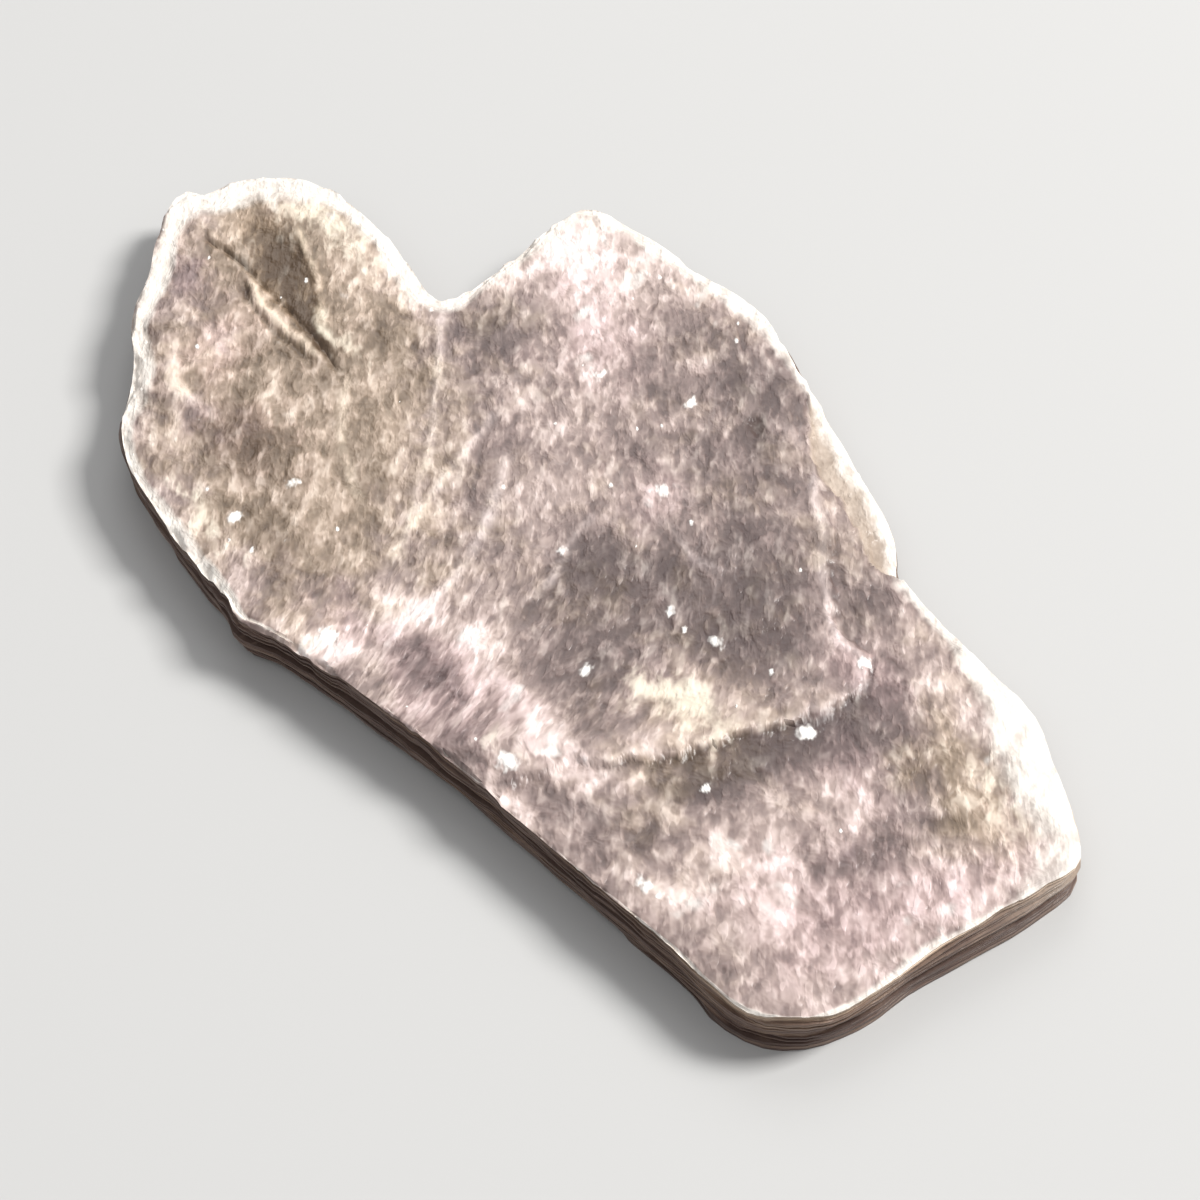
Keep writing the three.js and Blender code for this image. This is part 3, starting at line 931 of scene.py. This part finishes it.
# Ragged blotches of many sizes: noise lifted to 1 above its middle and sunk to 0 below it.
def makeMottleGroup():
    tree, given, result = newGroup(
        "mottle", {"Place": None, "Across": 8.0, "Along": 8.0, "Softness": 0.16, "Seed": 0.0}, ["Value"])
    vector = squeezed(tree, given["Place"], given["Across"], given["Along"], given["Seed"])
    cloud = noise(tree, vector, 1.0, 3.0, 0.62, 0.3)
    low = calculate(tree, "SUBTRACT", 0.5, given["Softness"])
    high = calculate(tree, "ADD", 0.5, given["Softness"])
    tree.links.new(rise(tree, cloud, low, high), result["Value"])
    return tree


# Thin wandering lines, where noise passes through its middle value.
def makeThreadGroup():
    tree, given, result = newGroup(
        "threads", {"Place": None, "Across": 4.0, "Along": 12.0, "Width": 0.012, "Seed": 0.0}, ["Mask"])
    vector = squeezed(tree, given["Place"], given["Across"], given["Along"], given["Seed"])
    raw = noise(tree, vector, 1.0, 3.0, 0.5, 0.4)
    away = calculate(tree, "ABSOLUTE", calculate(tree, "SUBTRACT", raw, 0.5))
    tree.links.new(rise(tree, away, 0.0, given["Width"], 1.0, 0.0), result["Mask"])
    return tree


# Lone irregular specks, painted glints: one in some of the cells, each of its own size.
def makeGlintSpeckGroup():
    tree, given, result = newGroup(
        "glintSpeckMask", {"Place": None, "Spacing": 3.0, "Size": 0.5, "Share": 0.3, "Seed": 0.0}, ["Mask"])
    longer = calculate(tree, "MULTIPLY", given["Spacing"], 1.9)
    shaken = addNode(tree, "ShaderNodeTexNoise", Vector=given["Place"], Scale=2.4, Detail=3.0)
    shifted = addNode(tree, "ShaderNodeVectorMath", {"operation": "MULTIPLY_ADD"})
    tree.links.new(shaken.outputs["Color"], shifted.inputs[0])
    shifted.inputs[1].default_value = (0.35, 0.6, 0.0)
    tree.links.new(given["Place"], shifted.inputs[2])
    vector = squeezed(tree, shifted.outputs[0], given["Spacing"], longer, given["Seed"])
    cells = addNode(tree, "ShaderNodeTexVoronoi", {"voronoi_dimensions": "2D"}, Vector=vector, Scale=1.0)
    chance = partsOf(tree, cells.outputs["Color"])
    bar = calculate(tree, "SUBTRACT", 1.0, given["Share"])
    there = calculate(tree, "GREATER_THAN", chance[0], bar)
    size = calculate(tree, "DIVIDE", given["Size"], given["Spacing"])
    size = calculate(tree, "MULTIPLY", size, calculate(tree, "MULTIPLY_ADD", chance[1], 0.9, 0.4))
    core = calculate(tree, "MULTIPLY", size, 0.35)
    spot = rise(tree, cells.outputs["Distance"], core, size, 1.0, 0.0)
    tree.links.new(calculate(tree, "MULTIPLY", spot, there), result["Mask"])
    return tree


fleckGroup = makeFleckGroup()
mottleGroup = makeMottleGroup()
threadGroup = makeThreadGroup()
glintSpeckGroup = makeGlintSpeckGroup()

faceLook = {
    "tones": [(0.0, paint(83, 67, 65)), (0.2, paint(113, 96, 92)), (0.4, paint(145, 126, 121)),
              (0.55, paint(172, 152, 145)), (0.7, paint(201, 181, 174)), (0.85, paint(226, 207, 201)),
              (1.0, paint(246, 235, 231))],
    "khakiTones": [(0.0, paint(85, 67, 50)), (0.2, paint(114, 96, 78)), (0.4, paint(145, 126, 108)),
                   (0.55, paint(172, 151, 133)), (0.7, paint(203, 182, 164)), (0.85, paint(229, 211, 193)),
                   (1.0, paint(248, 237, 224))],
    # a brown tint for the hollow, also laid in the nick as painted shadow
    "umberAndNickShade": tint(0.97, 0.88, 0.72),
    "rose": tint(1.0, 0.94, 0.99),
    "cream": paint(243, 233, 212),
    # colour of the painted glints and of the milky flecks
    "glintAndMilk": paint(255, 252, 248),
    "thread": paint(240, 226, 224),
    "warmThread": paint(240, 225, 203),
    "rimPale": paint(248, 241, 233),
    "rimShade": paint(231, 220, 210),
    "bevelPale": paint(244, 239, 231),
    "bevelShade": paint(206, 195, 186),
    "shelfPale": paint(204, 187, 171),
    "shelfShade": paint(146, 128, 113),
    "base": 0.405,                 # the plain value, from 0 for the darkest tone to 1 for the palest
    "patch": 0.42,                 # weight of the light and dusky patches
    "darkest": 0.06,               # below twice this value, darks deepen half as fast
    "cloud": 0.15,                 # weights of the variation, from the widest to the finest
    "puff": 0.21,
    "blotch": 0.22,
    "fleck": 0.17,
    "wisp": 0.13,
    "fine": 0.13,
}

edgeLook = {
    "tones": [(0.0, paint(66, 51, 46)), (0.35, paint(104, 84, 76)), (0.62, paint(147, 123, 106)),
              (0.82, paint(194, 170, 146)), (1.0, paint(232, 217, 200))],
    "frost": paint(236, 223, 208),
}


# The cleavage face: mottled tones, casts of colour, threads, specks, and the worn rim and bevel.
def makeFaceMaterial():
    material = bpy.data.materials.new("faceMica")
    material.use_nodes = True
    tree = material.node_tree
    shader = tree.nodes["Principled BSDF"]
    grain = attributeOf(tree, "grain")
    body = bodyPlace(tree)
    # light is the patches' paleness less painted shade past the film's step and in the nick
    light, cream, rose = partsOf(tree, "patches")
    khaki, bevel, terrace = partsOf(tree, "casts")
    # line brings painted shade in the crack and at the foot of the film's step; the brown mark brings
    # painted shadow in the nick
    line, glint, umberAndNickShade = partsOf(tree, "marks")
    rimShare = partsOf(tree, "edging")[0]

    # clouds, blotches and flecks, from the widest to the finest
    cloud = useGroup(tree, mottleGroup, Place=body, Across=9.0, Along=9.0, Seed=2.0)["Value"]
    puff = useGroup(tree, mottleGroup, Place=grain, Across=3.6, Along=4.6, Seed=41.0)["Value"]
    blotch = useGroup(tree, mottleGroup, Place=grain, Across=1.6, Along=2.6, Seed=9.0)["Value"]
    hue = useGroup(tree, mottleGroup, Place=body, Across=4.2, Along=4.2, Softness=0.24, Seed=33.0)["Value"]
    pale = useGroup(tree, fleckGroup, Place=grain, Across=0.7, Along=1.9, Level=0.46, Softness=0.22,
                    Seed=3.0)["Mask"]
    dark = useGroup(tree, fleckGroup, Place=grain, Across=0.66, Along=1.6, Level=0.47, Softness=0.22,
                    Seed=21.0)["Mask"]
    wisp = useGroup(tree, fleckGroup, Place=grain, Across=0.46, Along=1.3, Level=0.53, Softness=0.12,
                    Seed=52.0)["Mask"]
    fine = useGroup(tree, fleckGroup, Place=grain, Across=0.36, Along=0.75, Seed=15.0)["Raw"]
    drift = addAll(tree, -0.5 * sum(faceLook[size] for size in ("cloud", "puff", "blotch", "fine")),
                   [(cloud, faceLook["cloud"]), (puff, faceLook["puff"]), (blotch, faceLook["blotch"]),
                    (fine, faceLook["fine"]), (pale, faceLook["fleck"]), (dark, -faceLook["fleck"]),
                    (wisp, faceLook["wisp"])])
    value = addAll(tree, faceLook["base"], [(light, faceLook["patch"]), (drift, 1.0), (line, 0.33)])
    value = calculate(tree, "MAXIMUM", value, addAll(tree, faceLook["darkest"], [(value, 0.5)]))
    warm = addAll(tree, khaki, [(hue, 0.5), (blotch, 0.2), (rose, -0.45)])
    tone = blendColour(tree, rise(tree, warm, 0.25, 1.05), ramp(tree, value, faceLook["tones"]),
                       ramp(tree, value, faceLook["khakiTones"]))

    # pale lines and loose threads along the grain
    broken = rise(tree, addAll(tree, blotch, [(pale, 0.3)]), 0.0, 1.0, 0.4, 1.3)
    lined = calculate(tree, "MULTIPLY", line, broken)
    threads = useGroup(tree, threadGroup, Place=grain, Across=3.2, Along=13.0, Width=0.016,
                       Seed=5.0)["Mask"]
    threads = calculate(tree, "MULTIPLY", threads, rise(tree, puff, 0.0, 1.0, 0.0, 0.14))
    lined = calculate(tree, "MAXIMUM", lined, threads)
    warmth = rise(tree, warm, 0.3, 1.0)
    threadTone = blendColour(tree, warmth, faceLook["thread"], faceLook["warmThread"])
    tone = blendColour(tree, calculate(tree, "MULTIPLY", lined, 0.55), tone, threadTone)

    # brown, pink and cream casts; the brown at the nick is painted shadow
    tone = blendColour(tree, umberAndNickShade, tone, faceLook["umberAndNickShade"], "MULTIPLY")
    pinkish = rise(tree, addAll(tree, rose, [(blotch, 0.25), (hue, -0.3)]), -0.1, 0.8)
    tone = blendColour(tree, pinkish, tone, faceLook["rose"], "MULTIPLY")
    creamy = rise(tree, addAll(tree, cream, [(blotch, 0.3), (pale, 0.2), (dark, -0.2)]), 0.4, 1.05)
    tone = blendColour(tree, calculate(tree, "MULTIPLY", creamy, 0.75), tone, faceLook["cream"])

    # painted glints, as white specks and at the listed glint spots, with milky flecks
    glintSpeck = useGroup(tree, glintSpeckGroup, Place=grain, Spacing=2.0, Size=0.18, Share=0.1, Seed=4.0)["Mask"]
    milkyLevel = addAll(tree, 0.79, [(light, -0.2), (fine, -0.08)])
    milky = useGroup(tree, fleckGroup, Place=grain, Across=1.9, Along=2.5, Level=milkyLevel,
                     Softness=0.24, Seed=27.0)["Mask"]
    milky = calculate(tree, "MULTIPLY", milky, 0.85)
    glintAndMilk = calculate(tree, "MAXIMUM", glintSpeck, rise(tree, addAll(tree, glint, [(fine, 1.1)]), 0.85, 1.35))
    glintAndMilk = calculate(tree, "MAXIMUM", glintAndMilk, milky)
    tone = blendColour(tree, glintAndMilk, tone, faceLook["glintAndMilk"])

    # the terrace on the back, the worn rim, whose paleness is partly painted light shining through its thin
    # edge, and the frosted bevel, in broken contours
    shelf = blendColour(tree, addAll(tree, 0.1, [(blotch, 0.55), (fine, 0.6)]), faceLook["shelfShade"],
                        faceLook["shelfPale"])
    tone = blendColour(tree, calculate(tree, "MULTIPLY", terrace, 0.92), tone, shelf)
    wobble = addAll(tree, rimShare, [(blotch, 0.25), (fine, 0.5)])
    contour = rise(tree, calculate(tree, "FRACT", calculate(tree, "MULTIPLY", wobble, 3.0)), 0.0, 0.5)
    # the rim's pale tone: worn, frayed films, and painted light shining through the thin edge
    rimWearAndGlow = addAll(tree, rimShare, [(blotch, -0.3), (cloud, -0.25), (pale, -0.2), (dark, 0.2)])
    rimWearAndGlow = rise(tree, rimWearAndGlow, -0.05, 1.3, 1.0, 0.0)
    frayed = rise(tree, addAll(tree, contour, [(blotch, 1.2), (pale, 0.7), (fine, 1.6)]), 0.9, 3.0)
    rimTone = blendColour(tree, frayed, faceLook["rimShade"], faceLook["rimPale"])
    tone = blendColour(tree, rimWearAndGlow, tone, rimTone)
    frosted = rise(tree, addAll(tree, bevel, [(blotch, 0.16), (pale, 0.12), (dark, -0.12)]), 0.05, 0.95)
    bevelTone = blendColour(tree, frayed, faceLook["bevelShade"], faceLook["bevelPale"])
    tone = blendColour(tree, frosted, tone, bevelTone)
    tree.links.new(tone, shader.inputs["Base Color"])

    # pearly gloss, duller where it is milky or worn
    gloss = addAll(tree, 0.36, [(blotch, 0.08), (pale, 0.06), (glintAndMilk, 0.1), (rimWearAndGlow, 0.2), (frosted, 0.25)])
    tree.links.new(gloss, shader.inputs["Roughness"])
    shader.inputs["IOR"].default_value = 1.57
    shader.inputs["Coat Roughness"].default_value = 0.18
    tree.links.new(rise(tree, fine, 0.5, 0.8, 0.0, 0.22), shader.inputs["Coat Weight"])

    # relief, in millimetres
    relief = addAll(tree, 0.0, [(puff, 0.08), (blotch, 0.08), (pale, 0.02), (dark, -0.02),
                                (wisp, 0.02), (fine, 0.032), (glintAndMilk, 0.03), (threads, 0.02)])
    relief = addAll(tree, relief, [(calculate(tree, "MULTIPLY", contour, rimWearAndGlow), 0.01)])
    bump = addNode(tree, "ShaderNodeBump", Strength=1.0, Distance=mm, Height=relief)
    tree.links.new(bump.outputs["Normal"], shader.inputs["Normal"])
    return material


# The layered edge: fine level streaks, each layer with its own tone, frosted on the bevel.
def makeEdgeMaterial():
    material = bpy.data.materials.new("edgeMica")
    material.use_nodes = True
    tree = material.node_tree
    shader = tree.nodes["Principled BSDF"]
    run = attributeOf(tree, "edgeRun")
    frost, tone = partsOf(tree, "edging")[1:]
    drawnOut = addNode(tree, "ShaderNodeVectorMath", {"operation": "MULTIPLY"})
    feed(tree, drawnOut.inputs[0], run)
    drawnOut.inputs[1].default_value = (0.35, 0.35, 9.0)
    leaves = noise(tree, drawnOut.outputs[0], 1.0, 4.0, 0.65, 0.1)
    stains = noise(tree, run, 0.16, 3.0, 0.6)
    value = addAll(tree, -0.27, [(tone, 0.45), (leaves, 0.55), (stains, 0.35)])
    colour = ramp(tree, value, edgeLook["tones"])
    colour = blendColour(tree, calculate(tree, "MULTIPLY", frost, 0.65), colour, edgeLook["frost"])
    tree.links.new(colour, shader.inputs["Base Color"])
    tree.links.new(addAll(tree, 0.32, [(leaves, 0.3)]), shader.inputs["Roughness"])
    shader.inputs["IOR"].default_value = 1.57
    bump = addNode(tree, "ShaderNodeBump", Strength=0.8, Distance=0.12 * mm, Height=leaves)
    tree.links.new(bump.outputs["Normal"], shader.inputs["Normal"])
    return material


plate = buildCrystal()
plate.data.materials.append(makeFaceMaterial())
plate.data.materials.append(makeEdgeMaterial())
print("materials ready")

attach(plate, "root")
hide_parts("mica_crystal")
